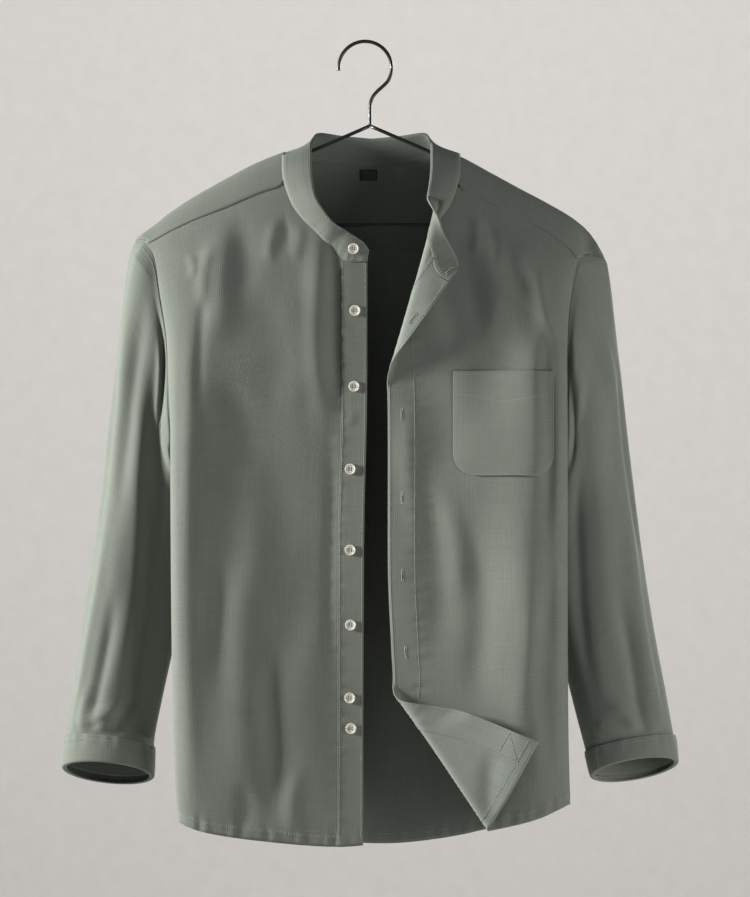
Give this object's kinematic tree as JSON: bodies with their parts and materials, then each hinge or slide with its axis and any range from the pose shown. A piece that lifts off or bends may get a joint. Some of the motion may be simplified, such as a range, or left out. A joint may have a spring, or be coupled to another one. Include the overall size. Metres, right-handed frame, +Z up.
{
  "type": "mandarin collar shirt on a wire hanger",
  "caption": "Long-sleeved woven shirt with a stand collar, hanging open on a wire hanger, one lapel and one hem corner turned out, cuffs turned back.",
  "frame": {"origin": "inner crown of the hanger's hook, where a rail or peg carries it", "axes": "+Z up, the shirt's front faces -Y, +X to the viewer's right"},
  "size_m": [0.6776, 0.1234, 0.883],
  "materials": {
    "cloth": "matte grey-green woven cotton",
    "button": "off-white moulded resin",
    "label": "dark woven satin",
    "wire": "black lacquered steel wire"
  },
  "bodies": {
    "root": {"front_button_side": "cloth", "front_hole_side": "cloth", "back_panel": "cloth", "yoke": "cloth", "collar_band": "cloth", "placket_button_side": "cloth", "placket_hole_side": "cloth", "sleeve_left": "cloth", "sleeve_right": "cloth", "cuff_left": "cloth", "cuff_right": "cloth", "pocket": "cloth", "button_1": "button", "button_2": "button", "button_3": "button", "button_4": "button", "button_5": "button", "button_6": "button", "button_7": "button", "button_8": "button", "neck_label": "label", "hanger_hook": "wire", "hanger_arm_left": "wire", "hanger_arm_right": "wire", "hanger_bar": "wire"}
  },
  "joints": []
}
